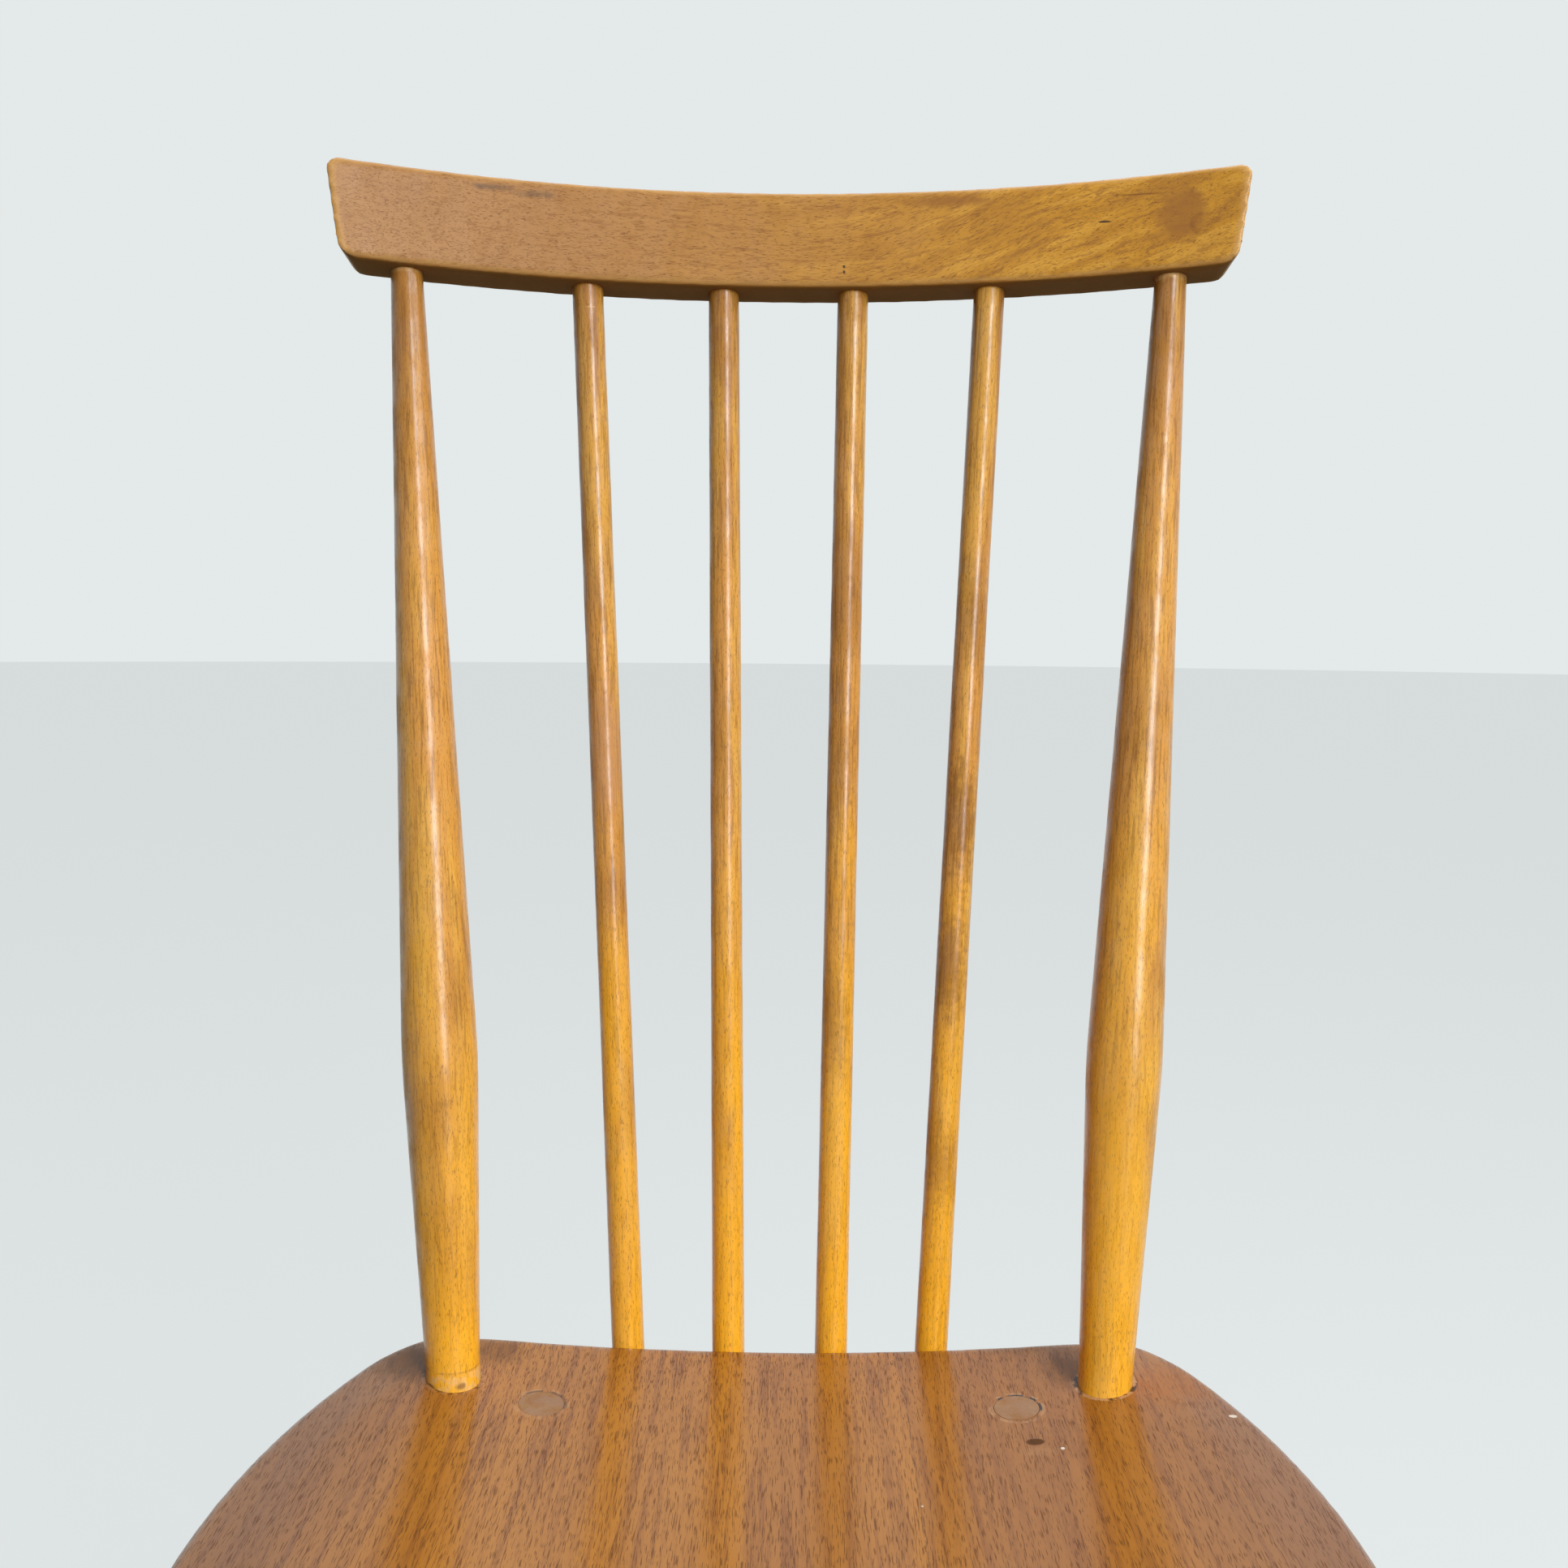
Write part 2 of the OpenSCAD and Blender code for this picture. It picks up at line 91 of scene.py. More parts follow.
# Marks of use: colour, strength, centre and radii in millimetres, how ragged the
# rim is, and how far out the mark is at full strength, as a share of its radii
SEAT_MARKS = (
    # Dirt and painted shadow beside and behind the feet of the posts
    ("dirt_and_shadow", 0.6, (-150, 108, 431), (24, 22, 20), 0.9, 0.2),
    ("dirt_and_shadow", 0.45, (-120, 120, 430), (18, 14, 20), 0.9, 0.2),
    ("dirt_and_shadow", 0.4, (119, 110, 430), (14, 18, 20), 1.1, 0.3),
    ("dirt_and_shadow", 0.25, (104, 127, 430), (20, 6, 20), 0.9, 0.2),
    # The right shoulder
    ("reddish", 0.35, (158, 94, 430), (24, 22, 20), 0.9, 0.2),
    # The knot and the pale wood round it
    ("pale", 0.3, (98, 50, 426), (9, 4.5, 10), 0.5, 0.2),
    ("knot", 0.95, (98, 57, 426), (3.9, 2.6, 10), 0.2, 0.7),
    # Specks of paint
    ("white", 0.9, (107.5, 51.5, 426), (0.8, 0.9, 10), 0.0, 0.8),
    ("white", 0.7, (51.5, 16.5, 423), (0.5, 0.6, 10), 0.0, 0.8),
    ("white", 0.8, (176, 67.5, 432), (1.7, 1.2, 10), 0.5, 0.8),
)
RAIL_MARKS = (
    # Dirt along the top edge at the left
    ("dirt_and_shadow", 0.75, (-132, 207, 928), (12, 10, 2), 1.4, 0.1),
    ("dirt_and_shadow", 0.6, (-113, 211, 926), (11, 10, 2.2), 1.4, 0.1),
    # A dark cloud and a scratch at the right
    ("rail_brown", 0.8, (74, 217, 926), (26, 10, 4), 1.0, 0.2),
    ("pore", 0.6, (154, 201, 925.5), (14, 10, 0.6), 0.8, 0.3),
    # The stain at the right end and the nick beside it
    ("rail_brown", 0.7, (172, 195, 916), (12, 10, 13), 0.5, 0.6),
    ("crack", 0.9, (139.5, 203, 914), (3.2, 10, 0.6), 0.4, 0.6),
    # Two pin holes
    ("crack", 0.9, (25, 215, 896.5), (0.7, 10, 0.8), 0.3, 0.6),
    ("crack", 0.9, (25, 215, 894), (0.7, 10, 0.9), 0.3, 0.6),
)
STICK_MARKS = (
    # The chipped foot of the left post
    ("chipped", 0.65, (-132, 97, 432), (15, 15, 5.5), 2.2, 0.5),
    ("brown", 0.8, (-132, 97, 436.5), (15, 15, 0.7), 1.6, 0.2),
    ("crack", 0.7, (-139.5, 88, 430.5), (3.5, 6, 1.4), 1.2, 0.3),
    ("burnt", 0.7, (-127.5, 87.5, 431.5), (2.5, 4, 1.6), 1.2, 0.3),
    # Chipped varnish at the tops of the posts
    ("chipped", 0.35, (-169, 202, 890), (12, 12, 2), 1.6, 0.4),
    ("chipped", 0.5, (169, 202, 890), (12, 12, 3), 1.6, 0.4),
    # The spindles
    ("pinkish", 0.6, (-77, 177, 680), (12, 14, 45), 0.7, 0.3),
    ("chipped", 0.5, (-88.5, 205, 877), (3, 10, 0.6), 0.5, 0.3),
    ("burnt", 0.3, (83, 187, 747), (11, 14, 30), 1.3, 0.1),
    ("burnt", 0.55, (78, 171, 651), (11, 14, 34), 1.3, 0.2),
    ("burnt", 0.55, (72, 160, 588), (11, 14, 34), 1.3, 0.2),
    ("burnt", 0.35, (69, 145, 503), (11, 14, 24), 1.3, 0.1),
    ("burnt", 0.35, (21, 159, 567), (11, 14, 40), 1.3, 0.1),
    ("burnt", 0.3, (24, 178, 680), (11, 14, 60), 1.3, 0.1),
    # The posts' knees
    ("burnt", 0.3, (-137, 107, 541), (5, 8, 2), 1.0, 0.2),
    ("golden", 0.35, (138, 110, 510), (20, 30, 70), 0.9, 0.2),
)


def paint(code):
    """The linear colour of a hex code."""
    channels = [int(code[i:i + 2], 16) / 255 for i in (0, 2, 4)]
    return tuple(c / 12.92 if c < 0.04045 else ((c + 0.055) / 1.055) ** 2.4 for c in channels)


# ---- Measuring the frame ----

def points_of(node):
    """The frame's points of one node, one row each."""
    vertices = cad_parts[node].data.vertices
    points = np.empty(len(vertices) * 3)
    vertices.foreach_get("co", points)
    return points.reshape(-1, 3)


class Axis:
    """The axis of a turned node, from its lower or left or front end to the other."""

    def __init__(self, node):
        points = points_of(node)
        along = np.linalg.svd(points - points.mean(0), full_matrices=False)[2][0]
        along *= np.sign(along[np.argmax(np.abs(along))])
        heights = points @ along
        # A leg's ends are cut level, so their points lie a few millimetres apart along it
        depth = 6 * MM if node in LEGS else 0.3 * MM
        ends = []
        for at_end in (heights < heights.min() + depth, heights > heights.max() - depth):
            end = points[at_end]
            ends.append((end.min(0) + end.max(0)) / 2)
        self.start, self.end = ends
        self.length = float(np.linalg.norm(self.end - self.start))
        self.along = (self.end - self.start) / self.length

    def measure(self, points):
        """Each point's height along the axis and its distance from it."""
        heights = (points - self.start) @ self.along
        feet = self.start + heights[:, None] * self.along
        return heights, np.linalg.norm(points - feet, axis=1)

    def placing(self):
        """The matrix that stands what is modelled up +Z on the axis."""
        tilt = Vector(self.along).to_track_quat("Z", "Y").to_matrix().to_4x4()
        return Matrix.Translation(Vector(self.start)) @ tilt


def rings_of(node, axis):
    """The (height, radius) of each whole ring of a turned node, from its start."""
    least_points = 16
    heights, radii = axis.measure(points_of(node))
    order = np.argsort(heights)
    groups = np.split(order, np.nonzero(np.diff(heights[order]) > NEAR)[0] + 1)
    rings = []
    for group in groups:
        whole = len(group) >= least_points and np.ptp(radii[group]) < NEAR
        if whole and np.ptp(heights[group]) < NEAR:
            rings.append((float(heights[group].mean()), float(radii[group].mean())))
    return rings


# ---- Modelling ----

def add_to_scene(name, data):
    """A new object that holds the data."""
    added = bpy.data.objects.new(name, data)
    bpy.context.scene.collection.objects.link(added)
    return added


def alone(*objects):
    """Selects these objects only, and makes the first one active."""
    if bpy.context.mode != "OBJECT":
        bpy.ops.object.mode_set(mode="OBJECT")
    bpy.ops.object.select_all(action="DESELECT")
    for one in objects:
        one.select_set(True)
    bpy.context.view_layer.objects.active = objects[0]


def edit(piece, mode="VERT"):
    """Opens the piece for editing, with all of it selected."""
    alone(piece)
    bpy.ops.object.mode_set(mode="EDIT")
    bpy.ops.mesh.select_mode(type=mode)
    bpy.ops.mesh.select_all(action="SELECT")


def done():
    bpy.ops.object.mode_set(mode="OBJECT")


def apply_modifier(piece, kind, **settings):
    alone(piece)
    modifier = piece.modifiers.new(kind.title(), kind)
    for key, value in settings.items():
        setattr(modifier, key, value)
    bpy.ops.object.modifier_apply(modifier=modifier.name)


def place(piece, matrix):
    """Puts the piece in its place, and the place in its mesh."""
    piece.matrix_world = matrix
    alone(piece)
    bpy.ops.object.transform_apply(location=True, rotation=True, scale=True)


def keep_own(piece, points):
    """Keeps the piece's own coordinates on its points, for the grain to follow."""
    own = piece.data.attributes.new(OWN, "FLOAT_VECTOR", "POINT")
    own.data.foreach_set("vector", np.asarray(points, np.float32).ravel())


def mesh_points(piece):
    """The piece's own points, one row each."""
    points = np.empty(len(piece.data.vertices) * 3)
    piece.data.vertices.foreach_get("co", points)
    return points.reshape(-1, 3)


def turn(profile, sides, step):
    """Draws a disc out into a turned solid up +Z, ring by ring."""
    height, radius = profile[0]
    bpy.ops.object.select_all(action="DESELECT")
    bpy.ops.mesh.primitive_circle_add(
        vertices=sides, radius=radius, fill_type="NGON", location=(0, 0, height))
    piece = bpy.context.object
    edit(piece, "FACE")
    for next_height, next_radius in profile[1:]:
        pieces = max(1, round((next_height - height) / step))
        rise = (next_height - height) / pieces
        for i in range(pieces):
            new_radius = radius + (next_radius - radius) / (pieces - i)
            bpy.ops.mesh.extrude_region_move(TRANSFORM_OT_translate={"value": (0, 0, rise)})
            grow = new_radius / radius
            bpy.ops.transform.resize(value=(grow, grow, 1))
            radius = new_radius
        height = next_height
    bpy.ops.mesh.select_all(action="SELECT")
    bpy.ops.mesh.normals_make_consistent(inside=False)
    done()
    place(piece, Matrix.Identity(4))
    return piece


def cut_flat(piece, point, normal):
    """Cuts away what lies beyond a plane and closes the cut."""
    edit(piece)
    bpy.ops.mesh.bisect(
        plane_co=point, plane_no=normal, use_fill=True, clear_outer=True, threshold=1e-6)
    done()


def bore(piece, axis, radius, low, high):
    """Cuts a round hole round the axis, between two heights along it."""
    middle = Vector(axis.start + axis.along * (low + high) / 2)
    bpy.ops.object.select_all(action="DESELECT")
    bpy.ops.mesh.primitive_cylinder_add(vertices=96, radius=radius, depth=high - low)
    drill = bpy.context.object
    place(drill, Matrix.Translation(middle - Vector(axis.start)) @ axis.placing())
    apply_modifier(piece, "BOOLEAN", operation="DIFFERENCE", solver="MANIFOLD", object=drill)
    bpy.data.objects.remove(drill)


def soften(piece, angle):
    """Shades the piece smooth, but for edges sharper than the angle."""
    alone(piece)
    bpy.ops.object.shade_smooth_by_angle(angle=math.radians(angle))


def finished(piece, node, finish):
    """Names the piece after the node that it stands for, and gives it its finish."""
    piece.name = f"{node}_wood"
    piece.data.name = piece.name
    piece.data.materials.clear()
    piece.data.materials.append(finish)
    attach(piece, BODY)
    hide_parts(node)


def copy_of(node, widen=0.0):
    """A merged copy of a node's mesh, with its flat ends across X moved out by widen."""
    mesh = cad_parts[node].data.copy()
    mesh.materials.clear()
    mesh.normals_split_custom_set([(0, 0, 0)] * len(mesh.loops))
    copy = add_to_scene(node, mesh)
    edit(copy)
    bpy.ops.mesh.remove_doubles(threshold=0.002 * MM)
    done()
    if widen:
        points = mesh_points(copy)
        low, high = points[:, 0].min(), points[:, 0].max()
        points[points[:, 0] > high - NEAR, 0] += widen
        points[points[:, 0] < low + NEAR, 0] -= widen
        copy.data.vertices.foreach_set("co", points.ravel())
    return copy


def close_bores(piece, bores):
    """Takes out the walls of round holes and closes their mouths."""
    points = mesh_points(piece)
    inside = np.zeros(len(points), int)
    for number, (axis, radius) in enumerate(bores, start=1):
        inside[axis.measure(points)[1] < radius + 2 * NEAR] = number
    mesh = piece.data
    for part in (mesh.vertices, mesh.edges, mesh.polygons):
        part.foreach_set("select", np.zeros(len(part), bool))
    for face in mesh.polygons:
        numbers = {int(inside[v]) for v in face.vertices}
        face.select = len(numbers) == 1 and numbers != {0}
    alone(piece)
    bpy.ops.object.mode_set(mode="EDIT")
    bpy.ops.mesh.select_mode(type="FACE")
    bpy.ops.mesh.delete(type="FACE")
    bpy.ops.mesh.select_mode(type="VERT")
    bpy.ops.mesh.select_all(action="SELECT")
    bpy.ops.mesh.fill_holes(sides=0)
    bpy.ops.mesh.normals_make_consistent(inside=False)
    done()


def uneven(piece, name, size, strength, mid_level):
    """Moves the faces in and out a little, and more in than out."""
    clouds = bpy.data.textures.new(f"{name}_sway", "CLOUDS")
    clouds.noise_scale = size
    apply_modifier(
        piece, "DISPLACE", texture=clouds, strength=strength, mid_level=mid_level,
        texture_coords="LOCAL")


def hand_worn(piece, voxel, rounds, sway, sway_size):
    """Turns a sharp blank into one with eased edges and slightly uneven faces."""
    apply_modifier(piece, "REMESH", mode="VOXEL", voxel_size=voxel)
    apply_modifier(piece, "SMOOTH", factor=0.5, iterations=rounds)
    uneven(piece, piece.name, sway_size, sway, mid_level=0.6)


# ---- Finishes ----

class Value:
    """What a node of a finish gives. Arithmetic on it adds Math nodes."""

    def __init__(self, finish, socket):
        self.finish = finish
        self.socket = socket

    def maths(self, operation, *values):
        return self.finish.add("ShaderNodeMath", {"operation": operation}, values)

    def __add__(self, other):
        return self.maths("ADD", self, other)

    def __radd__(self, other):
        return self.maths("ADD", other, self)

    def __sub__(self, other):
        return self.maths("SUBTRACT", self, other)

    def __rsub__(self, other):
        return self.maths("SUBTRACT", other, self)

    def __mul__(self, other):
        return self.maths("MULTIPLY", self, other)

    def __abs__(self):
        return self.maths("ABSOLUTE", self)

    def larger(self, other):
        return self.maths("MAXIMUM", self, other)


class Finish:
    """The node tree of a material or of the world, built node by node."""

    def __init__(self, owner):
        self.owner = owner
        owner.use_nodes = True
        self.tree = owner.node_tree
        self.tree.nodes.clear()
        self.point = self.add("ShaderNodeTexCoord", output="Object")

    def add(self, kind, settings=None, inputs=(), output=0):
        """Adds a node with its settings and its inputs, and gives one of its outputs."""
        node = self.tree.nodes.new(kind)
        for key, value in (settings or {}).items():
            setattr(node, key, value)
        for key, value in (inputs.items() if isinstance(inputs, dict) else enumerate(inputs)):
            if isinstance(value, Value):
                self.tree.links.new(value.socket, node.inputs[key])
            else:
                node.inputs[key].default_value = value
        return Value(self, node.outputs[output]) if node.outputs else None

    def own_point(self):
        """The point in the own coordinates of a turned piece, whose axis is Z."""
        return self.add("ShaderNodeAttribute", {"attribute_name": OWN}, output="Vector")

    def stretch(self, point, factors):
        """The point with each coordinate multiplied; a factor under one makes streaks."""
        return self.add("ShaderNodeVectorMath", {"operation": "MULTIPLY"}, [point, factors])

    def along(self, point, direction):
        """How far the point lies along a direction."""
        return self.add(
            "ShaderNodeVectorMath", {"operation": "DOT_PRODUCT"}, [point, direction], "Value")

    def distance(self, point, centre, radii):
        """The distance from a centre, with each radius counted as one."""
        off = self.add("ShaderNodeVectorMath", {"operation": "SUBTRACT"}, [point, centre])
        share = self.stretch(off, tuple(1 / r for r in radii))
        return self.add("ShaderNodeVectorMath", {"operation": "LENGTH"}, [share], "Value")

    def noise(self, point, scale, detail=2.0, roughness=0.5, distortion=0.0):
        return self.add("ShaderNodeTexNoise", None, {
            "Vector": point, "Scale": scale, "Detail": detail,
            "Roughness": roughness, "Distortion": distortion})

    def rise(self, value, low, high):
        """Goes smoothly from 0 to 1 as the value goes from low to high."""
        return self.add("ShaderNodeMapRange", {"interpolation_type": "SMOOTHSTEP"}, {
            "Value": value, "From Min": low, "From Max": high})

    def spot(self, centre, radii, ragged, core):
        """One inside an ellipsoid and nought outside, fading from the core outward."""
        reach = self.distance(self.point, centre, radii)
        if ragged:
            reach = reach + (self.noise(self.point, 300, 3) - 0.5) * ragged
        return 1 - self.rise(reach, core, 1.1)

    def marks(self, marks, props):
        """How much each mark covers, and its colour."""
        covers = []
        for colour, strength, centre, radii, ragged, core in marks:
            centre, radii = [tuple(v * MM for v in triple) for triple in (centre, radii)]
            cover = self.spot(centre, radii, ragged, core) * strength
            covers.append((cover, getattr(props, colour)))
        return covers

    def mix(self, factor, first, second):
        """The first colour where the factor is nought, and the second where it is one."""
        colours = [c if isinstance(c, Value) else (*c, 1) for c in (first, second)]
        return self.add(
            "ShaderNodeMix", {"data_type": "RGBA"}, {0: factor, 6: colours[0], 7: colours[1]}, 2)

    def ring(self, centre, axis, radius, width):
        """One on a circle round an axis, fading over the width to nought."""
        off = self.add("ShaderNodeVectorMath", {"operation": "SUBTRACT"}, [self.point, centre])
        across = self.add("ShaderNodeVectorMath", {"operation": "CROSS_PRODUCT"}, [off, axis])
        reach = self.add("ShaderNodeVectorMath", {"operation": "LENGTH"}, [across], "Value")
        return 1 - self.rise(abs(reach - radius), width * 0.4, width)

    def seen(self):
        """One for what the camera sees, straight or in gloss, and nought for bounced light."""
        seen = self.add("ShaderNodeLightPath", output="Is Camera Ray")
        outputs = seen.socket.node.outputs
        for name in ("Is Glossy Ray", "Is Transmission Ray"):
            seen = seen.larger(Value(self, outputs[name]))
        return seen

    def varnish(self, colour, roughness, height, depth, shine, gloss, gloss_roughness):
        """Ends the finish: wood under varnish, with its pores pressed in."""
        normal = self.add("ShaderNodeBump", None, {
            "Strength": 1.0, "Distance": depth, "Height": height})
        surface = self.add("ShaderNodeBsdfPrincipled", None, {
            "Base Color": colour, "Roughness": roughness, "Normal": normal,
            "Specular IOR Level": shine, "Coat Weight": gloss,
            "Coat Roughness": gloss_roughness})
        self.add("ShaderNodeOutputMaterial", None, {"Surface": surface})
        return self.owner


def material(name):
    """The finish of a new material."""
    return Finish(bpy.data.materials.new(name))


def turned_wood(name, props, low_colour, marks=()):
    """Beech under amber varnish: golden low down, browner high up, fine dark flecks."""
    f = material(name)
    own = f.own_point()
    z = f.along(f.point, (0, 0, 1))
    grain = f.noise(f.stretch(own, (1, 1, 0.06)), 800, 3, 0.65, 0.3)
    bands = f.noise(f.stretch(own, (1, 1, 0.07)), 90, 2, 0.5, 0.8)
    flecks = f.rise(f.noise(f.stretch(own, (1, 1, 0.16)), 2800, 1.5, 0.6), 0.56, 0.68)
    patches = f.noise(f.stretch(own, (1, 1, 0.3)), 36, 2, 0.55)
    high = f.rise(z + (patches - 0.5) * 0.3, 0.48, 0.68)
    lively = 0.45 + high * 0.55
    base = f.mix(high, low_colour, props.amber)
    base = f.mix(f.rise(z + (patches - 0.5) * 0.15, 0.72, 0.9), base, props.brown)
    base = f.mix(f.rise(bands, 0.45, 0.62) * 0.5, base, props.honey)
    base = f.mix(f.rise(patches, 0.52, 0.72) * lively * 0.6, base, props.brown)
    base = f.mix(f.rise(grain, 0.46, 0.66) * lively * 0.5, base, props.burnt)
    base = f.mix(flecks * 0.5, base, props.pore)
    for cover, colour in f.marks(marks, props):
        base = f.mix(cover, base, colour)
    worn = f.rise(f.noise(f.stretch(own, (1, 1, 0.5)), 110, 4, 0.65), 0.4, 0.62)
    rough = 0.3 + worn * 0.16
    height = 1 - flecks * 0.4 - grain * 1.2
    return f.varnish(base, rough, height, 0.1 * MM, 0.1, 1 - worn * 0.55, 0.27)


def seat_wood(name, props):
    """Open-pored boards under a brown varnish, with the marks of long use."""
    f = material(name)
    x = f.along(f.point, (1, 0, 0))
    streaks = f.noise(f.stretch(f.point, (1, 0.03, 1)), 330, 3, 0.6, 0.2)
    broad = f.noise(f.stretch(f.point, (1, 0.1, 1)), 34, 2, 0.5)
    pores = f.noise(f.stretch(f.point, (1, 0.055, 1)), 2500, 1.5, 0.6)
    right = f.rise(x, RIGHT_SEAM - 0.1 * MM, RIGHT_SEAM + 0.1 * MM)
    pores = f.rise(pores + (streaks - 0.5) * 0.12 - right * 0.01, 0.55, 0.64)
    base = f.mix(f.rise(broad, 0.35, 0.7), props.seat, props.seat_light)
    base = f.mix(right * 0.3, base, props.seat_dark)
    base = f.mix(f.rise(streaks, 0.42, 0.68) * 0.8, base, props.seat_dark)
    edge = f.rise(0 - x, 0.12, 0.18) + f.rise(x, 0.13, 0.19)
    base = f.mix(edge * 0.6, base, props.seat_edge)
    base = f.mix(pores * 0.65, base, props.seat_pore)
    broken = f.noise(f.point, 260, 2)
    # The front half is rubbed duller than the back half
    dull = f.rise(0 - f.along(f.point, (0, 1, 0)), 0.03, 0.1) * 0.85
    for cover, colour in f.marks(SEAT_MARKS, props):
        base = f.mix(cover, base, colour)
        dull = dull.larger(cover)
    for seam, strength in ((RIGHT_SEAM, 0.55), (LEFT_SEAM, 0.2)):
        line = 1 - f.rise(abs(x - seam), 0.1 * MM, 0.5 * MM)
        line = line * f.rise(broken, 0.3, 0.55)
        base = f.mix(line * strength, base, props.seat_pore)
    # Old glue round the tenons of the legs, open at the back of each
    for node, pale, dark in (("leg_rear_left", 0.35, 0.6), ("leg_rear_right", 0.5, 1.0),
                             ("leg_front_left", 0.2, 0.5), ("leg_front_right", 0.2, 0.5)):
        axis = Axis(node)
        centre, along = tuple(axis.end), tuple(axis.along)
        rim = f.ring(centre, along, 10.3 * MM, 1.4 * MM)
        crack = f.ring(centre, along, 9.5 * MM, 0.8 * MM)
        back = f.along(f.point, BACKWARD) - Vector(centre).dot(BACKWARD)
        base = f.mix(rim * f.rise(broken, 0.42, 0.6) * pale, base, props.pale)
        open_part = f.rise(back, 1 * MM, 3 * MM) * f.rise(broken, 0.35, 0.45)
        base = f.mix(crack * open_part * dark, base, props.crack)
    # Old glue and black dirt round the feet of the posts
    for node, pale, dark in (("post_left", 0.25, 0.5), ("post_right", 0.8, 0.9)):
        axis = Axis(node)
        collar = f.ring(tuple(axis.start), tuple(axis.along), 11.5 * MM, 1.8 * MM)
        base = f.mix(collar * f.rise(broken, 0.45, 0.55) * pale, base, props.pale)
        base = f.mix(collar * (1 - f.rise(broken, 0.4, 0.5)) * dark, base, props.crack)
    gloss = 1 - dull.larger(pores * 0.5)
    return f.varnish(base, 0.5, 1 - pores, 0.08 * MM, 0.05, gloss, 0.19)


def rail_wood(name, props):
    """A close-grained bent board, its finish worn through along the edges."""
    f = material(name)
    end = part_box(RAIL)[1].x
    up = (0, math.sin(RAIL_TILT), math.cos(RAIL_TILT))
    x = f.along(f.point, (1, 0, 0))
    rise = f.along(f.point, up) - Vector(RAIL_FOOT).dot(up)
    lean = f.rise(x, -0.02, 0.12) * x * -0.3
    flow = f.add("ShaderNodeVectorMath", {"operation": "ADD"}, [
        f.point, f.add("ShaderNodeCombineXYZ", None, [0.0, 0.0, lean])])
    flecks = f.rise(f.noise(f.stretch(flow, (0.16, 1, 1)), 2400, 1.5, 0.6), 0.55, 0.68)
    grain = f.noise(f.stretch(flow, (0.16, 1, 1)), 560, 3, 0.65, 0.6)
    stripes = f.noise(f.stretch(flow, (0.12, 1, 1)), 110, 3, 0.6, 0.5)
    clouds = f.noise(f.stretch(f.point, (1, 1, 0.5)), 30, 3, 0.55, 1.6)
    rightward = f.rise(x + (clouds - 0.5) * 0.2, -0.12, 0.14)
    base = f.mix(rightward, props.rail_tan, props.rail_gold)
    base = f.mix(f.rise(clouds, 0.48, 0.66) * 0.3, base, props.rail_brown)
    base = f.mix(f.rise(stripes, 0.5, 0.66) * rightward * 0.35, base, props.rail_brown)
    base = f.mix(f.rise(stripes, 0.5, 0.36) * rightward * 0.3, base, props.honey)
    base = f.mix(f.rise(grain, 0.48, 0.66) * 0.6, base, props.rail_brown)
    base = f.mix(flecks * 0.6, base, props.pore)
    for cover, colour in f.marks(RAIL_MARKS, props):
        base = f.mix(cover, base, colour)
    # The outline of the stain at the right end
    stain = f.ring((180 * MM, 191.5 * MM, 911 * MM), (0, -1, 0.18), 4.2 * MM, 1.6 * MM)
    base = f.mix(stain * f.rise(clouds, 0.35, 0.6) * 0.35, base, props.pore)
    # How far in a point is from the outline of the front face, whose ends lean outward
    corner = 8 * MM
    half = RAIL_HEIGHT / 2
    out_x = abs(x) + (RAIL_HEIGHT - rise) * math.tan(RAIL_END_SLANT) - (end - corner)
    out_z = abs(rise - half) - (half - corner)
    reach = f.add("ShaderNodeCombineXYZ", None, [out_x.larger(0.0), out_z.larger(0.0), 0.0])
    inward = corner - f.add("ShaderNodeVectorMath", {"operation": "LENGTH"}, [reach], "Value")
    ragged = (f.noise(f.stretch(f.point, (0.3, 1, 1)), 160, 3) - 0.5) * (3 * MM)
    band = 1 - f.rise(inward + ragged, 1.2 * MM, 3.6 * MM)
    base = f.mix(band * 0.6, base, props.rubbed)
    # Painted shade along the lower front edge, where the face turns under
    lower_edge_shade = 1 - f.rise(rise + ragged * 0.5, 0.2 * MM, 1.6 * MM)
    base = f.mix(lower_edge_shade * 0.75, base, props.lower_edge_shade)
    # Painted shade: a thin dark line along the top edge, where the face turns over
    top_edge_shade = f.rise(rise + ragged * 0.3, RAIL_HEIGHT - 1.8 * MM, RAIL_HEIGHT - 0.6 * MM)
    base = f.mix(top_edge_shade * 0.6, base, props.rail_brown)
    # Painted shade on the underside, which is also rougher and without gloss
    normal = f.add("ShaderNodeNewGeometry", output="Normal")
    under_shade_and_dull = f.rise(0 - f.along(normal, up), 0.7, 0.9)
    base = f.mix(under_shade_and_dull, base, props.underside_shade)
    rough = 0.34 + f.noise(f.point, 70, 3) * 0.16 + under_shade_and_dull * 0.4
    height = 1 - flecks * 0.5 - grain * 0.4
    return f.varnish(base, rough, height, 0.1 * MM, 0.22, 0.15 - under_shade_and_dull * 0.15, 0.2)


# ---- Settings ----

